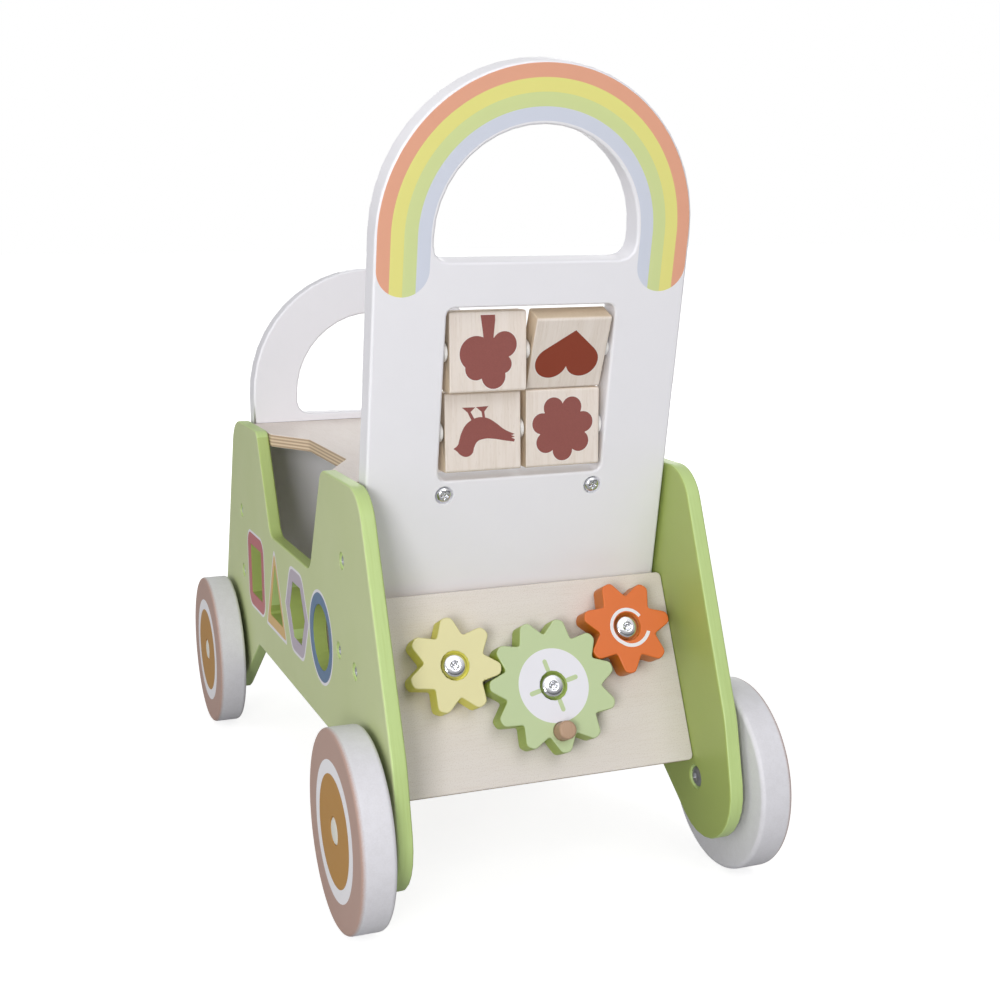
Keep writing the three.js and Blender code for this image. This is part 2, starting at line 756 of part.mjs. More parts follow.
for (const [side, label] of [[-1, 'left'], [1, 'right']]) {
  addSidePanel(side, label);
  addWheel(side, -axleY, `rear_${label}`);
  addWheel(side, axleY, `front_${label}`);
}
addHandlePanel();
addFrontPanel();
addGearBoard();
addSeat();
addFloor();

export default walker;
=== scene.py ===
# A push-along walker in painted birch plywood for a child of about a year: four wheels, a
# shape-sorting box with a seat on top, a rainbow handle with four turning picture tiles, and
# three meshed gears on a sloping board. Metres; +Y is the walking direction, +Z is up.
import json
import math

import bmesh
import bpy
from mathutils import Matrix, Vector


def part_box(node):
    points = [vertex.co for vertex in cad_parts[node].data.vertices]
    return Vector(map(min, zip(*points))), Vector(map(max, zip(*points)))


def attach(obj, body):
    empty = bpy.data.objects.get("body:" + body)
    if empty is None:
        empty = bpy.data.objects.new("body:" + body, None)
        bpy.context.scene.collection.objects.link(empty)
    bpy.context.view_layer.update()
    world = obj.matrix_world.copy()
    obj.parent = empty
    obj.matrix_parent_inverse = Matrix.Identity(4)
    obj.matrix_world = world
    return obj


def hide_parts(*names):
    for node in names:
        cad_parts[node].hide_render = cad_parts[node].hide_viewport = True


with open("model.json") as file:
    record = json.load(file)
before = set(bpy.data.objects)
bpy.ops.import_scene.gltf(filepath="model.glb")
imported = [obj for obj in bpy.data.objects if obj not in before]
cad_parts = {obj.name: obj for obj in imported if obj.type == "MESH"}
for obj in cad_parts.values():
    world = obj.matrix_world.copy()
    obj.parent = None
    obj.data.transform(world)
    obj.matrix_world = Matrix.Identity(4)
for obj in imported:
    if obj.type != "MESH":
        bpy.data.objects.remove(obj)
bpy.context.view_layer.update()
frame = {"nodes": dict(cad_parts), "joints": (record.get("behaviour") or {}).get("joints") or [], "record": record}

# ---------------------------------------------------------------- side panels
# Two boards of 10 mm plywood, routed to shape and sprayed apple green, with their edges eased by
# a router bit. The outer faces are painted greyer than the cut edges, a painted sheen: the white
# haze that satin paint shows at a grazing angle. They carry a coloured border round each of the
# four sorting holes.

MM = 0.001
body_of = {
    node: body
    for body, members in frame["record"]["behaviour"]["bodies"].items()
    for node in members
}


def colour(code):
    """Turns an sRGB hex code into the linear colour that a shader takes."""
    parts = [int(code[i : i + 2], 16) / 255 for i in (1, 3, 5)]
    return (*[p / 12.92 if p <= 0.04045 else ((p + 0.055) / 1.055) ** 2.4 for p in parts], 1.0)


def add(tree, kind, links=None, **settings):
    """Adds a node with its settings. A link is an input's value, or the node or socket it reads."""
    made = tree.nodes.new("ShaderNode" + kind)
    for name, value in settings.items():
        setattr(made, name, value)
    for socket, source in (links or {}).items():
        if isinstance(source, bpy.types.Node):
            source = source.outputs[0]
        if isinstance(source, bpy.types.NodeSocket):
            tree.links.new(source, made.inputs[socket])
        else:
            made.inputs[socket].default_value = source
    return made


def hand_over(shape, name, finish, body, nodes=(), home=None):
    """Makes a bmesh a piece that rides on a body and stands for CAD nodes. Its attribute `made`
    holds each point as it lay on the bench, in the frame that `home` takes to its place."""
    mesh = bpy.data.meshes.new(name)
    shape.to_mesh(mesh)
    shape.free()
    bench = (home or Matrix.Identity(4)).inverted()
    places = mesh.attributes.new("made", "FLOAT_VECTOR", "POINT")
    places.data.foreach_set("vector", [c for v in mesh.vertices for c in bench @ v.co])
    mesh.polygons.foreach_set("use_smooth", [True] * len(mesh.polygons))
    mesh.materials.append(finish)
    piece = bpy.data.objects.new(name, mesh)
    bpy.context.scene.collection.objects.link(piece)
    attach(piece, body)
    if nodes:
        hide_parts(*nodes)
    return piece


def rim_loops(shape, sharpness=50):
    """Groups the outward corners of a board into connected rims, each with its length."""
    left = {
        e
        for e in shape.edges
        if e.is_manifold and e.is_convex and e.calc_face_angle() > math.radians(sharpness)
    }
    rims = []
    while left:
        found, front = [], [left.pop()]
        while front:
            edge = front.pop()
            found.append(edge)
            near = [e for v in edge.verts for e in v.link_edges if e in left]
            left.difference_update(near)
            front += near
        rims.append((sum(e.calc_length() for e in found), found))
    return rims


def eased(node, radius, finish, home=None, holes=None, small=0.35, crisp=None):
    """Stands for a CAD board or gear with its outline rounded to a radius, and the rims of its
    holes and screw recesses to their own. Where crisp says so, a corner stays as it was cut."""
    shape = bmesh.new()
    shape.from_mesh(frame["nodes"][node].data)
    bmesh.ops.remove_doubles(shape, verts=shape.verts, dist=0.002 * MM)
    flat = math.radians(0.6)
    bmesh.ops.dissolve_limit(shape, angle_limit=flat, verts=shape.verts, edges=shape.edges)
    bands = ((175, math.inf, radius), (64, 175, holes or radius), (35, 64, small))
    for shortest, longest, size in bands:
        rims = [
            e
            for length, rim in rim_loops(shape)
            for e in rim
            if shortest * MM < length <= longest * MM
            and not (crisp and crisp((e.verts[0].co + e.verts[1].co) / 2))
        ]
        if rims:
            bmesh.ops.bevel(shape, geom=rims, offset=size * MM, offset_type="OFFSET",
                            affect="EDGES", segments=3, profile=0.5, material=-1,
                            loop_slide=False)
    piece = hand_over(shape, "eased_" + node, finish, body_of[node], [node], home)
    piece.modifiers.new("even_shading", "WEIGHTED_NORMAL").keep_sharp = True
    return piece


def sprayed(name, ground, roughness=0.42, prints=None, cloud=0.03, peel=0.012):
    """A satin enamel sprayed on sealed wood: even colour with a faint cloudiness, and a fine
    orange peel of 0.8 mm that breaks the gloss up."""
    finish = bpy.data.materials.new(name)
    finish.use_nodes = True
    tree = finish.node_tree
    shader = tree.nodes["Principled BSDF"]
    place = add(tree, "Attribute", attribute_name="made").outputs["Vector"]
    drift = add(tree, "TexNoise", {"Vector": place, "Scale": 1 / (25 * MM), "Detail": 3.0})
    red, green, blue, _ = colour(ground)
    paint = add(tree, "MixRGB", {
        "Fac": drift,
        "Color1": (red * (1 - cloud), green * (1 - cloud), blue * (1 - cloud), 1),
        "Color2": (red * (1 + cloud), green * (1 + cloud), blue * (1 + cloud), 1),
    })
    if prints:
        paint = prints(tree, place, paint)
    tree.links.new(paint.outputs[0], shader.inputs["Base Color"])
    gloss = add(tree, "MapRange", {
        "Value": drift, "To Min": roughness - 0.05, "To Max": roughness + 0.05})
    tree.links.new(gloss.outputs[0], shader.inputs["Roughness"])
    grit = add(tree, "TexNoise", {"Vector": place, "Scale": 1 / (0.8 * MM), "Detail": 2.0})
    skin = add(tree, "Bump", {"Height": grit, "Strength": 0.6, "Distance": peel * MM})
    tree.links.new(skin.outputs[0], shader.inputs["Normal"])
    shader.inputs["IOR"].default_value = 1.5
    return finish


# Heights, places and sizes of the sorting holes on the walker, with the widths of their prints.
sorter_height = 149.9 * MM
square_y, triangle_y, hexagon_y, circle_y = (y * MM for y in (121.95, 50.65, -20.65, -91.95))
square_flat, square_corner = 18.5 * MM, 2 * MM
triangle_reach, triangle_foot = 10.29 * MM, 23 * MM
hexagon_reach, circle_radius = 21 * MM, 23 * MM
print_border = {"square": 10.0, "triangle": 5.2, "hexagon": 9.6, "circle": 8.0}
print_outline = {"square": 2.0, "triangle": 1.6, "hexagon": 2.0, "circle": 2.0}
sorter_inks = {
    "square": colour("#B06468"),
    "triangle": colour("#CBA86C"),
    "hexagon": colour("#AFA5B1"),
    "circle": colour("#597392"),
}
outline_ink = colour("#DCDADF")
# Half a millimetre inside the outer faces, and as much outside the inner ones.
skin_from, inside_to = 115.0 * MM, 106.0 * MM
notch_floor, notch_half = 188 * MM, 101 * MM


def sorter_prints(tree, place, paint):
    """Lays a painted sheen, a greyer green, on the outer face, and the hole borders on that."""
    spot = add(tree, "SeparateXYZ", {0: place})

    def sum_of(operation, first, second=0.0, third=0.0):
        return add(tree, "Math", {0: first, 1: second, 2: third}, operation=operation)

    def off(centre):
        return sum_of("ABSOLUTE", sum_of("SUBTRACT", spot.outputs["Y"], centre))

    rise = sum_of("SUBTRACT", spot.outputs["Z"], sorter_height)
    away = sum_of("ABSOLUTE", rise)
    outwards = sum_of("ABSOLUTE", spot.outputs["X"])
    skin = sum_of("GREATER_THAN", outwards, skin_from)
    # The distance outside each hole's rim, in metres.
    corner = [sum_of("MAXIMUM", sum_of("SUBTRACT", s, square_flat)) for s in (off(square_y), away)]
    square = sum_of("SUBTRACT", sum_of("SQRT", sum_of("ADD", *[
        sum_of("MULTIPLY", c, c) for c in corner])), square_corner)
    tip = sum_of("SQRT", sum_of("ADD", sum_of("POWER", off(triangle_y), 2.0), 9 * MM * MM))
    slope = sum_of("MULTIPLY_ADD", tip, 0.894, sum_of("MULTIPLY", rise, 0.447))
    foot = sum_of("MULTIPLY", sum_of("ADD", rise, triangle_foot), -0.65)
    triangle = sum_of("SMOOTH_MAX", sum_of("SUBTRACT", slope, triangle_reach), foot, 3 * MM)
    flank = sum_of("MULTIPLY_ADD", off(hexagon_y), 0.866, sum_of("MULTIPLY", away, 0.5))
    hexagon = sum_of("SUBTRACT", sum_of("SMOOTH_MAX", away, flank, 10 * MM), hexagon_reach)
    turn = [sum_of("MULTIPLY", s, s) for s in (off(circle_y), away)]
    circle = sum_of("SUBTRACT", sum_of("SQRT", sum_of("ADD", *turn)), circle_radius)

    along = add(tree, "Mapping", {"Vector": place, "Scale": (1.0, 0.03, 0.03)})
    plies = add(tree, "TexNoise", {"Vector": along, "Scale": 1 / (1.1 * MM), "Detail": 3.0})
    grain = add(tree, "MapRange", {
        "Value": plies, "From Min": 0.5, "From Max": 0.7, "To Min": 0.0, "To Max": 0.22})
    paint = add(tree, "MixRGB", {"Fac": grain, "Color1": paint, "Color2": colour("#A2B866")})
    # The outer face's greyer green below is a painted sheen: the white haze of satin paint at a grazing angle, a
    # little uneven across the face.
    sheen_drift = add(tree, "TexNoise", {"Vector": place, "Scale": 1 / (60 * MM), "Detail": 2.0})
    film = add(tree, "MixRGB", {
        "Fac": sheen_drift, "Color1": colour("#B9C48F"), "Color2": colour("#C0C99A")})
    # A deeper green on the inner faces, the hole walls and the notch, for how they look in the
    # shade. It stands for the shade's tone, not for a second paint.
    nearest = sum_of("MINIMUM", sum_of("MINIMUM", square, triangle), sum_of(
        "MINIMUM", hexagon, circle))
    hidden = sum_of("MAXIMUM", sum_of("LESS_THAN", nearest, 0.2 * MM), sum_of(
        "LESS_THAN", outwards, inside_to))
    notch = sum_of("MULTIPLY", sum_of("GREATER_THAN", spot.outputs["Z"], notch_floor), sum_of(
        "LESS_THAN", sum_of("ABSOLUTE", spot.outputs["Y"]), notch_half))
    hidden = sum_of("MAXIMUM", hidden, sum_of("MULTIPLY", notch, 0.65))
    paint = add(tree, "MixRGB", {"Fac": hidden, "Color1": paint, "Color2": colour("#A0B161")})
    paint = add(tree, "MixRGB", {"Fac": skin, "Color1": paint, "Color2": film})
    for hole, distance in (
        ("square", square), ("triangle", triangle), ("hexagon", hexagon), ("circle", circle),
    ):
        border = print_border[hole] * MM
        edge = border + print_outline[hole] * MM
        halo = sum_of("MULTIPLY", skin, sum_of("LESS_THAN", distance, edge))
        ink = sum_of("MULTIPLY", skin, sum_of("LESS_THAN", distance, border))
        paint = add(tree, "MixRGB", {"Fac": halo, "Color1": paint, "Color2": outline_ink})
        paint = add(tree, "MixRGB", {"Fac": ink, "Color1": paint, "Color2": sorter_inks[hole]})
    return paint


side_paint = sprayed("satin_apple_green_enamel", "#BAD088", prints=sorter_prints)


def in_floor_groove(middle):
    return abs(middle.x) < 109.7 * MM and 100 * MM < middle.z < 108 * MM


for side in ("left", "right"):
    eased("side_panel_" + side, 1.6, side_paint, holes=0.5, crisp=in_floor_groove)

# ---------------------------------------------------------------- screws through the sides
# Twelve zinc-plated furniture screws hold the boards between the sides. Each sits in a 12 mm
# counterbore, and its low domed head has a 4 mm hexagon socket.


def turned(node, profile, home, finish, steps=48, socket=None, name=None):
    """A turned piece about Z on the bench, from a profile of (radius, height, easing) in mm that
    runs from the bottom to the top on the outside. A socket is (radius, shape function)."""
    shape = bmesh.new()
    corners = [shape.verts.new((r * MM, 0, h * MM)) for r, h, _ in profile]
    for one, other in zip(corners, corners[1:]):
        shape.edges.new((one, other))
    if profile[0][0] > 0:
        shape.edges.new((corners[-1], corners[0]))
    bmesh.ops.spin(shape, geom=shape.verts[:] + shape.edges[:], cent=(0, 0, 0), axis=(0, 0, 1),
                   angle=2 * math.pi, steps=steps, use_merge=True, use_duplicate=False)
    bmesh.ops.remove_doubles(shape, verts=shape.verts, dist=0.001 * MM)
    bmesh.ops.recalc_face_normals(shape, faces=shape.faces)
    if socket:
        width, outline = socket
        for v in shape.verts:
            if abs(v.co.xy.length - width * MM) < 0.002 * MM:
                v.co.xy *= outline(math.atan2(v.co.y, v.co.x))
    for radius, height, easing in profile:
        ring = [
            e
            for e in shape.edges
            if easing
            and all(abs(v.co.xy.length - radius * MM) < 0.002 * MM for v in e.verts)
            and all(abs(v.co.z - height * MM) < 0.002 * MM for v in e.verts)
        ]
        if ring:
            bmesh.ops.bevel(shape, geom=ring, offset=easing * MM, offset_type="OFFSET",
                            affect="EDGES", segments=4, profile=0.5, material=-1)
    bmesh.ops.transform(shape, matrix=home, verts=shape.verts)
    piece = hand_over(shape, name or "turned_" + node, finish, body_of[node], [node], home)
    piece.modifiers.new("even_shading", "WEIGHTED_NORMAL").keep_sharp = True
    return piece


def hexagon_key(angle):
    """How far in a hexagonal socket's wall lies, as a share of its corner radius."""
    part = (math.degrees(angle) % 60) - 30
    return math.cos(math.radians(30)) / math.cos(math.radians(part))


def seat_of(node, turn, centre=None):
    """Where a piece is made to stand: on its own axis, at the low end of its CAD solid. The turn
    takes Z on the bench to the piece's axis. Also gives its length in mm."""
    low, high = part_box(node)
    centre = centre or (low + high) / 2
    axis = turn.to_3x3() @ Vector((0, 0, 1))
    heights = [(v.co - centre).dot(axis) for v in frame["nodes"][node].data.vertices]
    home = Matrix.Translation(centre + axis * min(heights)) @ turn
    return home, (max(heights) - min(heights)) / MM


def plated(name, tint, roughness, scratch):
    """Bright plating over steel: nearly clean, with fine turning marks and a patchy haze."""
    finish = bpy.data.materials.new(name)
    finish.use_nodes = True
    tree = finish.node_tree
    shader = tree.nodes["Principled BSDF"]
    shader.inputs["Metallic"].default_value = 1.0
    place = add(tree, "Attribute", attribute_name="made").outputs["Vector"]
    haze = add(tree, "TexNoise", {"Vector": place, "Scale": 1 / (2.5 * MM), "Detail": 3.0})
    red, green, blue, _ = colour(tint)
    metal = add(tree, "MixRGB", {
        "Fac": haze,
        "Color1": (red * 0.93, green * 0.93, blue * 0.93, 1),
        "Color2": (red, green, blue, 1),
    })
    tree.links.new(metal.outputs[0], shader.inputs["Base Color"])
    gloss = add(tree, "MapRange", {
        "Value": haze, "To Min": roughness * 0.7, "To Max": roughness * 1.4})
    tree.links.new(gloss.outputs[0], shader.inputs["Roughness"])
    marks = add(tree, "TexWave", {"Vector": place, "Scale": 1 / (1.2 * MM), "Distortion": 0.4},
                wave_type="RINGS", rings_direction="Z")
    skin = add(tree, "Bump", {"Height": marks, "Strength": 0.3, "Distance": scratch * MM})
    tree.links.new(skin.outputs[0], shader.inputs["Normal"])
    return finish


zinc = plated("zinc_plated_steel", "#B9BBC2", 0.34, 0.004)
facing = {
    "left": Matrix.Rotation(math.radians(-90), 4, "Y"),
    "right": Matrix.Rotation(math.radians(90), 4, "Y"),
}


def socket_screw(node, home, length, shank, head, rise, key, finish, steps=48):
    """A low domed screw: a shank, and a head of a radius and a rise, with a hexagon socket."""
    foot = length - rise
    turned(node, [
        (0, 0, 0),
        (shank, 0, 0.4),
        (shank, foot, 0),
        (head, foot, 0),
        (head, foot + rise * 0.35, 0.5),
        (head * 0.9, foot + rise * 0.66, 0),
        (head * 0.7, foot + rise * 0.9, 0),
        (key * 1.35, length, 0),
        (key, length, 0),
        (key, length - rise * 0.6, 0),
        (0, length - rise * 0.6, 0),
    ], home, finish, steps, (key, hexagon_key))


for side in ("left", "right"):
    for board in ("handle", "gear_board", "front"):
        for level in ("lower", "upper"):
            screw = f"screw_{side}_{board}_{level}"
            home, length = seat_of(screw, facing[side])
            socket_screw(screw, home, length, 2.5, 5.0, 2.6, 2.3, zinc)

# ---------------------------------------------------------------- wheels
# Four turned hardwood wheels of 126 mm, whitewashed so that the tread is softly mottled. The
# outer face is printed with an orange disc, a white ring and a dusty pink ring, and has a white
# cap over the bolt. Each turns on a steel bolt, whose head lies flush in the side's inner face.

wheel_radius, wheel_face = 63.0, 22.0
disc_radius, ring_radius = 35.0, 43.75


def wheel_prints(tree, place, paint):
    """Rings printed on the outer face, with the pink worn soft where the face meets the tread."""
    spot = add(tree, "SeparateXYZ", {0: place})
    flat = add(tree, "CombineXYZ", {"X": spot.outputs["X"], "Y": spot.outputs["Y"]})
    reach = add(tree, "VectorMath", {0: flat}, operation="LENGTH").outputs["Value"]
    rub = add(tree, "TexNoise", {"Vector": place, "Scale": 1 / (0.6 * MM), "Detail": 3.0})
    worn = add(tree, "MapRange", {
        "Value": rub, "From Min": 0.3, "From Max": 0.7,
        "To Min": -0.35 * MM, "To Max": 0.35 * MM})
    height = add(tree, "Math", {0: spot.outputs["Z"], 1: worn}, operation="ADD")
    printed = add(tree, "MapRange", {
        "Value": height, "From Min": (wheel_face - 3.0) * MM, "From Max": (wheel_face - 0.7) * MM})
    share = add(tree, "Math", {0: reach, 1: wheel_radius * MM}, operation="DIVIDE")
    rings = add(tree, "ValToRGB", {"Fac": share})
    rings.color_ramp.interpolation = "CONSTANT"
    stops = rings.color_ramp.elements
    stops[0].color = colour("#AE803D")
    stops[1].position, stops[1].color = disc_radius / wheel_radius, colour("#E3E2E6")
    stops.new(ring_radius / wheel_radius).color = colour("#AE9186")
    blotch = add(tree, "TexNoise", {"Vector": place, "Scale": 1 / (5 * MM), "Detail": 4.0})
    speck = add(tree, "TexNoise", {"Vector": place, "Scale": 1 / (1.1 * MM), "Detail": 3.0})
    wash = add(tree, "Math", {0: blotch, 1: speck}, operation="MULTIPLY")
    thin = add(tree, "MapRange", {
        "Value": wash, "From Min": 0.16, "From Max": 0.34, "To Min": 0.0, "To Max": 0.12})
    wood = add(tree, "MixRGB", {"Fac": thin, "Color1": paint, "Color2": colour("#B0ADAE")})
    return add(tree, "MixRGB", {"Fac": printed, "Color1": wood, "Color2": rings})


wheel_paint = sprayed("whitewashed_hardwood", "#DCDBE1", 0.5, wheel_prints, 0.02, 0.03)
nylon = sprayed("moulded_white_nylon", "#E4E4E6", 0.38, cloud=0.01, peel=0.004)
caps = sprayed("moulded_ivory_nylon", "#D9D8CE", 0.4, cloud=0.02, peel=0.006)

axle_of = {
    j["child"]: Vector(j["pos_m"]) for j in frame["joints"] if j["child"].startswith("wheel")
}
for axle, centre in axle_of.items():
    corner = axle.removeprefix("wheel_")
    side = corner.split("_")[1]
    home, _ = seat_of(axle, facing[side], centre)
    turned(axle, [
        (4.5, 0, 0.4),
        (wheel_radius, 0, 3.0),
        (wheel_radius, wheel_face, 2.6),
        (8.8, wheel_face, 0.7),
        (8.8, wheel_face - 3.2, 0),
        (4.5, wheel_face - 3.2, 0),
    ], home, wheel_paint, steps=96)
    home, length = seat_of("spacer_" + corner, facing[side], centre)
    turned("spacer_" + corner, [
        (4.3, 0, 0), (10, 0, 0.5), (10, length, 0.5), (4.3, length, 0),
    ], home, nylon)
    home, length = seat_of("hub_cap_" + corner, facing[side], centre)
    turned("hub_cap_" + corner, [
        (4.4, 0, 0),
        (8.5, 0, 0.3),
        (8.5, 2.1, 0.4),
        (7.4, 2.75, 0.3),
        (5.2, 2.95, 0),
        (0, length, 0),
        (0, 2.2, 0),
        (4.4, 2.2, 0),
    ], home, caps)
    inwards = facing["left" if side == "right" else "right"]
    home, length = seat_of("axle_bolt_" + corner, inwards, centre)
    socket_screw("axle_bolt_" + corner, home, length, 4.0, 7.0, 2.4, 3.0, zinc)

# ---------------------------------------------------------------- handle panel and front panel
# Two 18 mm boards sprayed satin white, with arched tops and hand holes. The handle leans back
# towards the child by 12 degrees, and a four-colour rainbow is printed round its arch.

handle_lean = 12
foot = min((v.co for v in frame["nodes"]["handle_panel"].data.vertices), key=lambda co: co.z)
handle_home = (
    Matrix.Translation((0, foot.y, foot.z))
    @ Matrix.Rotation(math.radians(90 + handle_lean), 4, "X")
)
arch_centre = 318.5 * MM
rainbow_inner, rainbow_outer = 68.6 * MM, 102.1 * MM
rainbow_end = 299.0 * MM


def rainbow(tree, place, paint):
    """Four equal bands that follow the arch, run straight down and end in one round end."""
    spot = add(tree, "SeparateXYZ", {0: place})

    def sum_of(operation, first, second=0.0):
        return add(tree, "Math", {0: first, 1: second}, operation=operation)

    above = sum_of("MAXIMUM", sum_of("SUBTRACT", spot.outputs["Y"], arch_centre))
    across = spot.outputs["X"]
    reach = sum_of("SQRT", sum_of(
        "ADD", sum_of("MULTIPLY", above, above), sum_of("MULTIPLY", across, across)))
    below = sum_of("MINIMUM", sum_of("SUBTRACT", spot.outputs["Y"], rainbow_end))
    aside = sum_of("SUBTRACT", reach, (rainbow_inner + rainbow_outer) / 2)
    away = sum_of("SQRT", sum_of(
        "ADD", sum_of("MULTIPLY", below, below), sum_of("MULTIPLY", aside, aside)))
    inside = sum_of("LESS_THAN", away, (rainbow_outer - rainbow_inner) / 2)
    front = sum_of("GREATER_THAN", spot.outputs["Z"], -0.5 * MM)
    share = add(tree, "MapRange", {
        "Value": reach, "From Min": rainbow_inner, "From Max": rainbow_outer})
    bands = add(tree, "ValToRGB", {"Fac": share})
    bands.color_ramp.interpolation = "CONSTANT"
    stops = bands.color_ramp.elements
    stops[0].color = colour("#D3D8E6")
    stops[1].position, stops[1].color = 0.75, colour("#E7A88C")
    stops.new(0.25).color = colour("#D3DE9C")
    stops.new(0.5).color = colour("#E8E388")
    return add(tree, "MixRGB", {
        "Fac": sum_of("MULTIPLY", inside, front), "Color1": paint, "Color2": bands})


handle_paint = sprayed("satin_white_enamel_with_rainbow", "#EDECF1", 0.36, rainbow, 0.012, 0.008)
eased("handle_panel", 1.8, handle_paint, handle_home)

front_paint = sprayed("satin_white_enamel", "#E9E8ED", 0.38, None, 0.012, 0.008)
seat_low, seat_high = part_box("seat_board")


def in_seat_groove(middle):
    return middle.y < 169 * MM and seat_low.z - MM < middle.z < seat_high.z + MM


eased("front_panel", 1.8, front_paint, crisp=in_seat_groove)

# ---------------------------------------------------------------- seat screws
# Two chrome screws with domed heads and cross recesses fix the handle panel to the seat's rear
# edge, each in a shallow round recess of the white board.

chrome = plated("chrome_plated_steel", "#E8E9EE", 0.14, 0.002)


def cross_key(angle, arm=0.2):
    """How far out a cross recess reaches, as a share of its arm's length."""
    part = math.radians(abs(((math.degrees(angle) + 45) % 90) - 45))
    return min(1 / math.cos(part), arm / max(math.sin(part), 1e-6))


for side, x in (("left", -51.5 * MM), ("right", 51.5 * MM)):
    screw = "seat_screw_" + side
    centre = handle_home @ Vector((x, 152.5 * MM, 0))
    home, length = seat_of(screw, handle_home.to_3x3().to_4x4(), centre)
    rise = 3.2
    turned(screw, [
        (0, 0, 0),
        (2, 0, 0.3),
        (2, length - rise, 0),
        (5.4, length - rise, 0),
        (5.4, length - rise * 0.7, 0.5),
        (4.9, length - rise * 0.42, 0),
        (4.1, length - rise * 0.17, 0),
        (3.1, length - rise * 0.03, 0),
        (2.7, length, 0),
        (2.7, length - 1.3, 0),
        (0, length - 1.5, 0),
    ], home, chrome, socket=(2.7, cross_key))

# ---------------------------------------------------------------- turning picture tiles
# Four blocks of solid birch on two birch rods, kept apart by nylon beads. The grain of the
# picture faces runs up and down. The pictures are screen-printed in brown-red inks, and all but
# the bird lie on a slightly larger off-white ground.

tile_thickness = 16.0
tile_turns = {"upper_left": -11, "upper_right": 12.5, "lower_left": -12, "lower_right": -11}


def solid_birch(name, face, side, pore="#B79F80"):
    """Planed birch: fine lines every millimetre or so along Y, short pores, warmer side grain."""
    finish = bpy.data.materials.new(name)
    finish.use_nodes = True
    tree = finish.node_tree
    shader = tree.nodes["Principled BSDF"]
    place = add(tree, "Attribute", attribute_name="made").outputs["Vector"]
    drawn = add(tree, "Mapping", {"Vector": place, "Scale": (1.0, 0.06, 1.0)})
    lines = add(tree, "TexNoise", {
        "Vector": drawn, "Scale": 1 / (1.5 * MM), "Detail": 5.0, "Roughness": 0.6})
    broad = add(tree, "TexNoise", {"Vector": drawn, "Scale": 1 / (9 * MM), "Detail": 3.0})
    pores = add(tree, "TexNoise", {"Vector": drawn, "Scale": 1 / (0.35 * MM), "Detail": 1.0})
    light, dark = colour(face), colour(side)
    spot = add(tree, "SeparateXYZ", {0: place})
    depth = add(tree, "Math", {0: spot.outputs["Z"]}, operation="ABSOLUTE")
    flat = add(tree, "MapRange", {
        "Value": depth,
        "From Min": (tile_thickness / 2 - 1.6) * MM,
        "From Max": (tile_thickness / 2 - 0.4) * MM})
    wood = add(tree, "MixRGB", {"Fac": flat, "Color1": dark, "Color2": light})
    figure = add(tree, "MapRange", {
        "Value": broad, "From Min": 0.35, "From Max": 0.65, "To Min": 0.0, "To Max": 0.12})
    wood = add(tree, "MixRGB", {"Fac": figure, "Color1": wood, "Color2": colour(pore)})
    ridge = add(tree, "MapRange", {
        "Value": lines, "From Min": 0.45, "From Max": 0.75, "To Min": 0.0, "To Max": 0.18})
    wood = add(tree, "MixRGB", {"Fac": ridge, "Color1": wood, "Color2": colour(pore)})
    fleck = add(tree, "MapRange", {
        "Value": pores, "From Min": 0.66, "From Max": 0.74, "To Min": 0.0, "To Max": 0.2})
    wood = add(tree, "MixRGB", {"Fac": fleck, "Color1": wood, "Color2": colour("#94795A")})
    tree.links.new(wood.outputs[0], shader.inputs["Base Color"])
    gloss = add(tree, "MapRange", {"Value": lines, "To Min": 0.5, "To Max": 0.68})
    tree.links.new(gloss.outputs[0], shader.inputs["Roughness"])
    skin = add(tree, "Bump", {"Height": lines, "Strength": 0.5, "Distance": 0.03 * MM})
    tree.links.new(skin.outputs[0], shader.inputs["Normal"])
    shader.inputs["IOR"].default_value = 1.5
    return finish


tile_wood = solid_birch("planed_birch", "#E9DFD7", "#D8C5AC")


def printing_ink(name, ground, weave):
    """Screen-printed ink: a flat matt colour with a fine mottle from the wood beneath it."""
    finish = bpy.data.materials.new(name)
    finish.use_nodes = True
    tree = finish.node_tree
    shader = tree.nodes["Principled BSDF"]
    place = add(tree, "Attribute", attribute_name="made").outputs["Vector"]
    mottle = add(tree, "TexNoise", {"Vector": place, "Scale": 1 / (0.7 * MM), "Detail": 3.0})
    red, green, blue, _ = colour(ground)
    ink = add(tree, "MixRGB", {
        "Fac": mottle,
        "Color1": (red * (1 - weave), green * (1 - weave), blue * (1 - weave), 1),
        "Color2": (red * (1 + weave), green * (1 + weave), blue * (1 + weave), 1),
    })
    tree.links.new(ink.outputs[0], shader.inputs["Base Color"])
    skin = add(tree, "Bump", {"Height": mottle, "Strength": 0.4, "Distance": 0.01 * MM})
    tree.links.new(skin.outputs[0], shader.inputs["Normal"])
    shader.inputs["Roughness"].default_value = 0.55
    return finish


picture_ink = printing_ink("brown_red_screen_ink", "#8E504A", 0.12)
heart_ink = printing_ink("rust_red_screen_ink", "#8D3B25", 0.08)
ground_ink = printing_ink("off_white_screen_ink", "#E8E1DB", 0.02)


def union_outline(middle, circles, shapes=(), count=240):
    """The outline round overlapping circles (x, y, radius) and polygons, seen from a middle."""
    centre = Vector(middle)
    points = []
    for k in range(count):
        angle = 2 * math.pi * k / count
        way = Vector((math.cos(angle), math.sin(angle)))
        reach = 0.0
        for x, y, radius in circles:
            to = Vector((x, y)) - centre
            along = to.dot(way)
            gap = radius * radius - (to.length_squared - along * along)
            if gap > 0:
                reach = max(reach, along + math.sqrt(gap))
        for shape in shapes:
            corners = [Vector(p) - centre for p in shape]
            for a, b in zip(corners, corners[1:] + corners[:1]):
                side = b - a
                turn = way.cross(side)
                if abs(turn) > 1e-9:
                    far, share = a.cross(side) / turn, a.cross(way) / turn
                    if far > 0 and 0 <= share <= 1:
                        reach = max(reach, far)
        points.append(centre + way * reach)
    return [(p.x, p.y, True) for p in points]


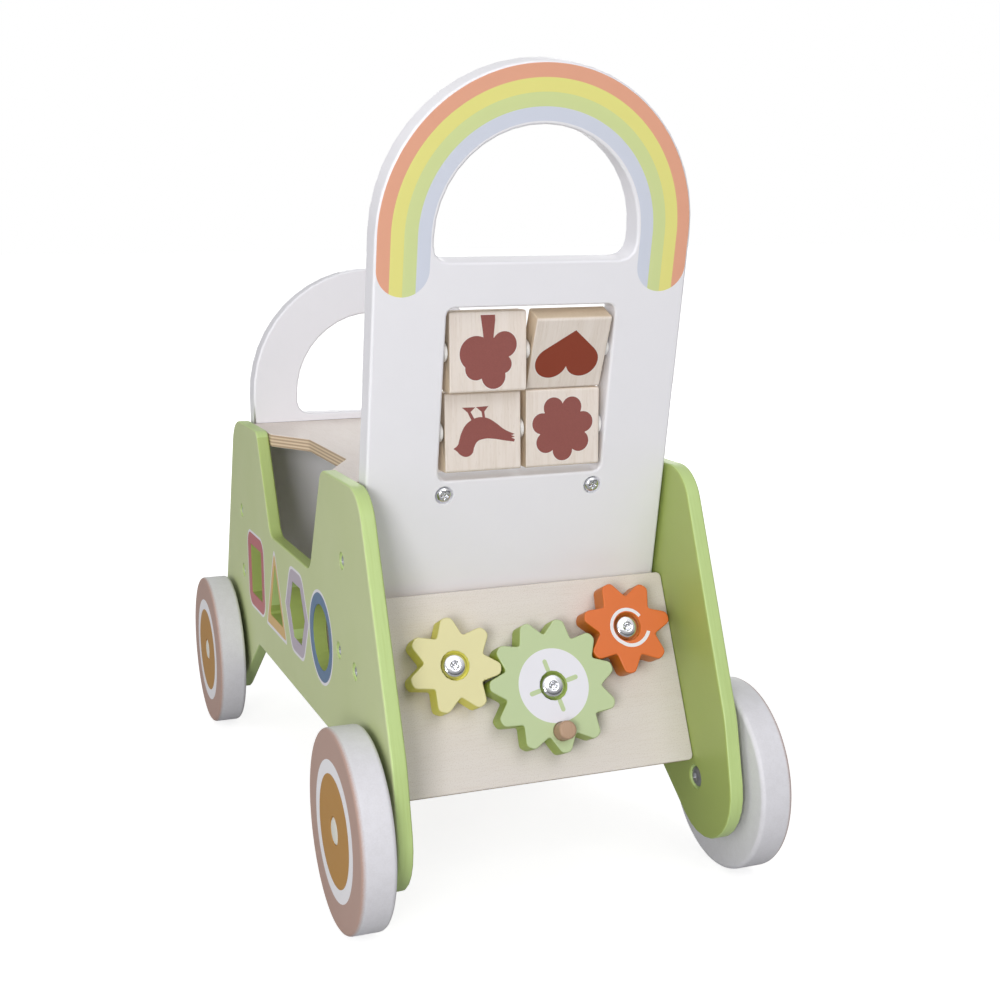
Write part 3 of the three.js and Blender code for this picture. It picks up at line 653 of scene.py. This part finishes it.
def printed(name, outline, size, low, high, home, finish, body):
    """A film of ink between two heights on a face, from an outline of (x, y, corner) in mm."""
    drawing = bpy.data.curves.new(name, "CURVE")
    drawing.dimensions = "2D"
    drawing.fill_mode = "BOTH"
    drawing.resolution_u = 6
    drawing.extrude = (high - low) / 2 * MM
    line = drawing.splines.new("BEZIER")
    line.bezier_points.add(len(outline) - 1)
    line.use_cyclic_u = True
    for point, (x, y, corner) in zip(line.bezier_points, outline):
        point.co = (x * size * MM, y * size * MM, 0)
        point.handle_left_type = point.handle_right_type = "VECTOR" if corner else "AUTO"
    sheet = bpy.data.objects.new(name + "_drawing", drawing)
    bpy.context.scene.collection.objects.link(sheet)
    bpy.context.view_layer.update()
    flat = bpy.data.meshes.new_from_object(sheet)
    bpy.data.objects.remove(sheet)
    shape = bmesh.new()
    shape.from_mesh(flat)
    bpy.data.meshes.remove(flat)
    bmesh.ops.remove_doubles(shape, verts=shape.verts, dist=0.001 * MM)
    bmesh.ops.recalc_face_normals(shape, faces=shape.faces)
    lift = Matrix.Translation((0, 0, (low + high) / 2 * MM))
    bmesh.ops.transform(shape, matrix=home @ lift, verts=shape.verts)
    film = hand_over(shape, name, finish, body, home=home)
    film.data.polygons.foreach_set("use_smooth", [False] * len(film.data.polygons))
    return film


petal_ring, petal = 14.6, 6.8
grapes = union_outline((0, -5), [
    (-8.0, -1.0, 11.0),
    (-8.3, -10.4, 7.1),
    (3.3, -15.4, 7.9),
    (9.6, -8.0, 5.8),
    (10.6, 4.2, 8.2),
    (1, -5, 9),
], [[(-5.3, 22.8), (-2.7, 6.0), (3.0, 6.0), (4.9, 22.8)]])
heart = union_outline((0, -3), [
    (-11.2, -6.0, 11.0),
    (9.9, -5.5, 11.0),
], [[(2.0, 16.6), (-18.7, 2.2), (-11.2, -6.0), (0, -8), (9.9, -5.5), (17.4, 2.8)]])
flower = union_outline((-0.2, -0.3), [
    (-0.2 + petal_ring * math.cos(a), -0.3 + petal_ring * math.sin(a), petal)
    for a in (math.radians(-90 + k * 360 / 7) for k in range(7))
] + [(-0.2, -0.3, 12.5)])
# The bird lies on its back, beak to the left and feet in the air.
bird = [
    (-20.2, -9.9, True), (-17.4, -7.9, False), (-16.2, -4.6, False), (-14.6, 0.2, False),
    (-11.6, 5.0, False), (-8.0, 7.7, True), (-10.4, 12.6, True), (-14.2, 15.9, True),
    (-5.2, 15.7, True), (-8.4, 12.9, True), (-6.0, 8.6, True), (-2.8, 9.3, False),
    (-0.5, 9.2, True), (-1.1, 12.7, True), (-4.8, 15.8, True), (3.6, 16.1, True),
    (0.8, 12.7, True), (1.3, 9.0, True), (4.6, 7.7, False), (9.2, 4.6, False),
    (14.2, 0.7, False), (21.3, -2.7, True), (18.9, -3.3, True), (21.4, -4.4, True),
    (19.0, -4.9, True), (21.4, -6.0, True), (20.8, -7.6, True), (13.6, -6.3, False),
    (6.4, -4.9, False), (0.2, -4.7, False), (-4.1, -6.2, False), (-6.2, -9.6, False),
    (-7.6, -13.6, False), (-11.6, -15.5, False), (-15.6, -14.0, False), (-17.6, -11.9, False),
]
pictures = {
    "upper_left": ("grapes", grapes, 1.025, picture_ink),
    "upper_right": ("heart", heart, 1.025, heart_ink),
    "lower_left": ("bird", bird, 1.0, picture_ink),
    "lower_right": ("flower", flower, 1.025, picture_ink),
}
for place, (picture, outline, spread, ink) in pictures.items():
    tile = "tile_" + place
    low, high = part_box(tile)
    home = (
        Matrix.Translation((low + high) / 2)
        @ Matrix.Rotation(math.radians(90 + handle_lean + tile_turns[place]), 4, "X")
    )
    eased(tile, 0.7, tile_wood, home)
    face = tile_thickness / 2
    if spread > 1:
        printed(f"ground_of_{picture}", outline, spread, face - 0.01, face + 0.02, home,
                ground_ink, body_of[tile])
    printed(f"printed_{picture}", outline, 1, face - 0.01, face + 0.05, home, ink, body_of[tile])

bead_nylon = sprayed("moulded_milky_nylon", "#E9E8E6", 0.35, cloud=0.01, peel=0.003)
for row in ("upper", "lower"):
    home, length = seat_of("tile_rod_" + row, facing["right"])
    turned("tile_rod_" + row, [
        (0, 0, 0), (3, 0, 0.5), (3, length, 0.5), (0, length, 0),
    ], home, tile_wood, steps=32)
    for column in ("left", "middle", "right"):
        bead = f"tile_bead_{row}_{column}"
        home, length = seat_of(bead, facing["right"])
        turned(bead, [
            (3.3, 0, 0.2), (6.2, 0, 1.0), (6.2, length, 1.0), (3.3, length, 0.2),
        ], home, bead_nylon, steps=40)

# ---------------------------------------------------------------- gear board, seat and floor
# Clear-lacquered birch plywood. The faces are one pale veneer with short flecks along the
# board's width, and the cut edges show the crossed plies as light and dark lines.

gear_tilt = 24
board_edge = min((v.co for v in frame["nodes"]["gear_board"].data.vertices), key=lambda co: co.y)
gear_home = (
    Matrix.Translation((0, board_edge.y, board_edge.z))
    @ Matrix.Rotation(math.radians(90 - gear_tilt), 4, "X")
)


def birch_plywood(name, thickness, face, grain=(0.06, 1.0, 1.0)):
    """Lacquered plywood with Z through its thickness, from 0 at its face down to minus that."""
    finish = bpy.data.materials.new(name)
    finish.use_nodes = True
    tree = finish.node_tree
    shader = tree.nodes["Principled BSDF"]
    place = add(tree, "Attribute", attribute_name="made").outputs["Vector"]
    drawn = add(tree, "Mapping", {"Vector": place, "Scale": grain})
    lines = add(tree, "TexNoise", {
        "Vector": drawn, "Scale": 1 / (1.3 * MM), "Detail": 5.0, "Roughness": 0.65})
    broad = add(tree, "TexNoise", {"Vector": drawn, "Scale": 1 / (16 * MM), "Detail": 3.0})
    speck = add(tree, "TexNoise", {"Vector": place, "Scale": 1 / (0.7 * MM), "Detail": 3.0})
    veneer = add(tree, "MapRange", {
        "Value": broad, "From Min": 0.3, "From Max": 0.7, "To Min": 0.0, "To Max": 0.15})
    wood = add(tree, "MixRGB", {
        "Fac": veneer, "Color1": colour(face), "Color2": colour("#CDBCAC")})
    streak = add(tree, "MapRange", {
        "Value": lines, "From Min": 0.5, "From Max": 0.78, "To Min": 0.0, "To Max": 0.2})
    wood = add(tree, "MixRGB", {"Fac": streak, "Color1": wood, "Color2": colour("#BBA893")})
    fleck = add(tree, "MapRange", {
        "Value": speck, "From Min": 0.52, "From Max": 0.72, "To Min": 0.0, "To Max": 0.26})
    wood = add(tree, "MixRGB", {"Fac": fleck, "Color1": wood, "Color2": colour("#8D7860")})
    # Plies of 1.25 mm; every other one shows its darker end grain.
    depth = add(tree, "SeparateXYZ", {0: place}).outputs["Z"]
    fold = add(tree, "Math", {0: depth, 1: 1.25 * MM}, operation="PINGPONG")
    ply = add(tree, "MapRange", {
        "Value": fold, "From Min": 0.45 * MM, "From Max": 0.8 * MM})
    end = add(tree, "MixRGB", {
        "Fac": ply, "Color1": colour("#D3BA94"), "Color2": colour("#94703F")})
    ragged = add(tree, "MixRGB", {"Fac": 0.25, "Color1": end, "Color2": wood})
    middle = add(tree, "Math", {0: depth, 1: thickness / 2 * MM}, operation="ADD")
    reach = add(tree, "Math", {0: middle}, operation="ABSOLUTE")
    edge = add(tree, "Math", {0: reach, 1: (thickness / 2 - 0.5) * MM}, operation="LESS_THAN")
    wood = add(tree, "MixRGB", {"Fac": edge, "Color1": wood, "Color2": ragged})
    tree.links.new(wood.outputs[0], shader.inputs["Base Color"])
    gloss = add(tree, "MapRange", {"Value": lines, "To Min": 0.42, "To Max": 0.6})
    tree.links.new(gloss.outputs[0], shader.inputs["Roughness"])
    rough = add(tree, "Math", {0: lines, 1: speck}, operation="ADD")
    skin = add(tree, "Bump", {"Height": rough, "Strength": 0.5, "Distance": 0.03 * MM})
    tree.links.new(skin.outputs[0], shader.inputs["Normal"])
    shader.inputs["IOR"].default_value = 1.5
    return finish


gear_ply = birch_plywood("lacquered_birch_plywood_9mm", 9, "#E1DAD5")
eased("gear_board", 0.8, gear_ply, gear_home)

seat_home = Matrix.Translation((0, 0, seat_high.z))
seat_ply = birch_plywood("lacquered_birch_plywood_10mm", 10, "#EBE1DA", (1.0, 0.06, 1.0))
eased("seat_board", 1.2, seat_ply, seat_home)

floor_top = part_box("floor_board")[1].z
floor_ply = birch_plywood("lacquered_birch_plywood_6mm", 6, "#E0D6CB", (1.0, 0.06, 1.0))
eased("floor_board", 0.3, floor_ply, Matrix.Translation((0, 0, floor_top)))

# ---------------------------------------------------------------- gears
# Three gears routed from 16 mm board with well-rounded teeth, sprayed green, yellow and orange.
# Each turns on a chrome furniture bolt whose head sits in a recess, on a nylon washer. The large
# one has a printed white disc with four green strokes, and the orange one a white curl.

gear_face = 15.4 * MM
gear_turn = Matrix.Rotation(math.radians(90 - gear_tilt), 4, "X")


def pale_face(face):
    """Gives the coat of a gear whose top is paler than its walls. The paler tone stands for how
    satin paint looks in the light, not for a second paint."""
    def coat(tree, place, paint):
        height = add(tree, "SeparateXYZ", {0: place}).outputs["Z"]
        top = add(tree, "MapRange", {
            "Value": height, "From Min": gear_face - 0.5 * MM, "From Max": gear_face + 0.4 * MM})
        return add(tree, "MixRGB", {"Fac": top, "Color1": paint, "Color2": colour(face)})
    return coat


stroke_from, stroke_to, stroke_half, disc_reach = 10.5 * MM, 16.2 * MM, 1.5 * MM, 24 * MM


def disc_with_strokes(tree, place, paint):
    """A white disc of 48 mm with four green strokes set a little off the upright."""
    paint = pale_face("#BCCC9D")(tree, place, paint)
    upright = add(tree, "Mapping", {"Vector": place, "Rotation": (0, 0, math.radians(-13.5))})
    spot = add(tree, "SeparateXYZ", {0: upright})

    def sum_of(operation, first, second=0.0):
        return add(tree, "Math", {0: first, 1: second}, operation=operation)

    across, up = (sum_of("ABSOLUTE", spot.outputs[n]) for n in ("X", "Y"))
    along, aside = sum_of("MAXIMUM", across, up), sum_of("MINIMUM", across, up)
    middle = sum_of("MINIMUM", sum_of("MAXIMUM", along, stroke_from), stroke_to)
    past = sum_of("SUBTRACT", along, middle)
    near = sum_of("SQRT", sum_of(
        "ADD", sum_of("MULTIPLY", past, past), sum_of("MULTIPLY", aside, aside)))
    stroke = sum_of("LESS_THAN", near, stroke_half)
    reach = sum_of("SQRT", sum_of(
        "ADD", sum_of("MULTIPLY", across, across), sum_of("MULTIPLY", up, up)))
    top = sum_of("GREATER_THAN", spot.outputs["Z"], gear_face)
    disc = sum_of("MULTIPLY", top, sum_of("LESS_THAN", reach, disc_reach))
    disc = sum_of("MULTIPLY", disc, sum_of("SUBTRACT", 1.0, stroke))
    return add(tree, "MixRGB", {"Fac": disc, "Color1": paint, "Color2": colour("#E6E5EC")})


curl_radius, curl_end, curl_half, tail_half = 11.4 * MM, 15.0 * MM, 1.1 * MM, 1.2 * MM


def white_curl(tree, place, paint):
    """A white line round the bolt, open on the right, whose end swings outwards to the right."""
    paint = pale_face("#DB6F2F")(tree, place, paint)
    spot = add(tree, "SeparateXYZ", {0: place})

    def sum_of(operation, first, second=0.0):
        return add(tree, "Math", {0: first, 1: second}, operation=operation)

    across, up = spot.outputs["X"], spot.outputs["Y"]
    angle = sum_of("ARCTAN2", up, across)
    reach = sum_of("SQRT", sum_of(
        "ADD", sum_of("MULTIPLY", across, across), sum_of("MULTIPLY", up, up)))
    stop = math.radians(-17)
    opened = add(tree, "MapRange", {
        "Value": angle, "From Min": math.radians(-120), "From Max": stop,
        "To Min": curl_radius, "To Max": curl_end})
    tail = sum_of("LESS_THAN", sum_of("ABSOLUTE", sum_of("SUBTRACT", reach, opened)), tail_half)
    tail = sum_of("MULTIPLY", tail, sum_of("LESS_THAN", angle, stop))
    aside = sum_of("ABSOLUTE", sum_of("SUBTRACT", reach, curl_radius))
    ring = sum_of("LESS_THAN", aside, curl_half)
    ring = sum_of("MULTIPLY", ring, sum_of("GREATER_THAN", angle, math.radians(32)))
    top = sum_of("GREATER_THAN", spot.outputs["Z"], gear_face)
    mark = sum_of("MULTIPLY", top, sum_of("MAXIMUM", ring, tail))
    return add(tree, "MixRGB", {"Fac": mark, "Color1": paint, "Color2": colour("#E8E6EA")})


gear_paints = {
    "large": sprayed("satin_leaf_green_enamel", "#9DB253", 0.45, disc_with_strokes),
    "left": sprayed("satin_primrose_enamel", "#E3DC5E", 0.45, pale_face("#E2DBA6")),
    "right": sprayed("satin_orange_enamel", "#C16708", 0.45, white_curl),
}
gear_centres = {j["child"]: Vector(j["pos_m"]) for j in frame["joints"] if "gear" in j["child"]}
for which, paint in gear_paints.items():
    centre = gear_centres["gear_" + which]
    home, _ = seat_of("gear_" + which, gear_turn, centre)
    eased("gear_" + which, 0.9, paint, home, small=0.5)
    home, length = seat_of("gear_washer_" + which, gear_turn, centre)
    turned("gear_washer_" + which, [
        (4.3, 0, 0), (10, 0, 0.3), (10, length, 0.3), (4.3, length, 0),
    ], home, nylon)
    home, length = seat_of("gear_bolt_" + which, gear_turn, centre)
    rise = 4.0
    turned("gear_bolt_" + which, [
        (0, 0, 0),
        (4, 0, 0.4),
        (4, length - rise, 0),
        (8.25, length - rise, 0),
        (8.25, length - 2.1, 0.5),
        (6.6, length - 0.5, 0.6),
        (5.0, length - 0.1, 0),
        (3.3, length, 0.3),
        (2.6, length - 0.4, 0),
        (2.6, length - 2.2, 0),
        (0, length - 2.4, 0),
    ], home, chrome, steps=72, socket=(2.6, hexagon_key))

# The crank knob is a 12 mm beech dowel glued into the large gear, with its end rounded over.
beech = solid_birch("oiled_beech_dowel", "#B7987F", "#AE8A70", "#8A6448")
knob_low, knob_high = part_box("crank_knob")
home, length = seat_of("crank_knob", gear_turn, (knob_low + knob_high) / 2)
turned("crank_knob", [
    (0, 0, 0), (6, 0, 0.3), (6, length, 1.8), (0, length, 0),
], home, beech)

# ---------------------------------------------------------------- room, light and camera
# A plain pale floor in a white room, with soft lamps high, in front, on the left and behind. The
# floor and room show white to the camera and light the walker more dimly, and polished metal sees
# a room that is darker low down.


def stage_sheet(name, size, shade):
    """A floor that glows for the camera alone, whiter further off, so that no horizon shows."""
    sheet = bmesh.new()
    bmesh.ops.create_grid(sheet, x_segments=1, y_segments=1, size=size / 2)
    mesh = bpy.data.meshes.new(name)
    sheet.to_mesh(mesh)
    sheet.free()
    surface = bpy.data.materials.new(name)
    surface.use_nodes = True
    shader = surface.node_tree.nodes["Principled BSDF"]
    shader.inputs["Base Color"].default_value = colour(shade)
    shader.inputs["Roughness"].default_value = 0.9
    shader.inputs["Specular IOR Level"].default_value = 0.0
    shader.inputs["Emission Color"].default_value = (1, 1, 1, 1)
    spot = add(surface.node_tree, "TexCoord").outputs["Object"]
    far = add(surface.node_tree, "VectorMath", {0: spot}, operation="LENGTH").outputs["Value"]
    glow = add(surface.node_tree, "MapRange", {
        "Value": far, "From Min": 0.5, "From Max": 1.6, "To Min": 0.76, "To Max": 1.0})
    seen = add(surface.node_tree, "LightPath").outputs["Is Camera Ray"]
    shown = add(surface.node_tree, "Math", {0: glow, 1: seen}, operation="MULTIPLY")
    surface.node_tree.links.new(shown.outputs[0], shader.inputs["Emission Strength"])
    mesh.materials.append(surface)
    made = bpy.data.objects.new(name, mesh)
    bpy.context.scene.collection.objects.link(made)
    return made


ground = stage_sheet("studio_floor", 60, "#BEBEBE")


def soft_lamp(name, place, aim, width, power):
    lamp = bpy.data.lights.new(name, "AREA")
    lamp.size = width
    lamp.energy = power
    holder = bpy.data.objects.new(name, lamp)
    holder.location = place
    holder.rotation_euler = (Vector(aim) - Vector(place)).to_track_quat("-Z", "Y").to_euler()
    bpy.context.scene.collection.objects.link(holder)


walker_middle = (0, 0, 0.22)
soft_lamp("high_lamp", (0.5, -2.4, 2.2), walker_middle, 1.6, 19)
soft_lamp("front_lamp", (-1.35, -2.25, 0.62), walker_middle, 0.8, 29)
soft_lamp("side_lamp", (-2.5, -0.3, 0.9), walker_middle, 1.6, 17)
soft_lamp("back_lamp", (1.3, 2.6, 0.8), walker_middle, 1.6, 20)

world = bpy.data.worlds.new("white_room")
bpy.context.scene.world = world
world.use_nodes = True
room = world.node_tree
sky = add(room, "TexCoord").outputs["Generated"]
steep = add(room, "SeparateXYZ", {0: sky}).outputs["Z"]
walls = add(room, "MapRange", {
    "Value": steep, "From Min": 0.0, "From Max": 0.8, "To Min": 0.28, "To Max": 0.47})
seen = add(room, "LightPath")
glossy = add(room, "MapRange", {
    "Value": steep, "From Min": 0.1, "From Max": 0.75, "To Min": 0.1, "To Max": 1.2})
lit = add(room, "Mix", {"Factor": seen.outputs["Is Glossy Ray"], "A": walls, "B": glossy})
shown = add(room, "Mix", {"Factor": seen.outputs["Is Camera Ray"], "A": lit, "B": 1.0})
room.nodes["Background"].inputs["Color"].default_value = (1, 1, 1, 1)
room.links.new(shown.outputs[0], room.nodes["Background"].inputs["Strength"])

scene = bpy.context.scene
scene.view_settings.view_transform = "Standard"

camera = bpy.data.cameras.new("camera")
camera.lens = 54.18
camera.sensor_width = 36
camera.clip_end = 100
viewer = bpy.data.objects.new("camera", camera)
viewer.matrix_world = (
    Matrix.Translation((-0.3517, -1.0659, 0.4229))
    @ Matrix.Rotation(math.radians(-20.69), 4, "Z")
    @ Matrix.Rotation(math.radians(90 - 10.19), 4, "X")
    @ Matrix.Rotation(math.radians(-0.51), 4, "Z")
)
scene.collection.objects.link(viewer)
scene.camera = viewer
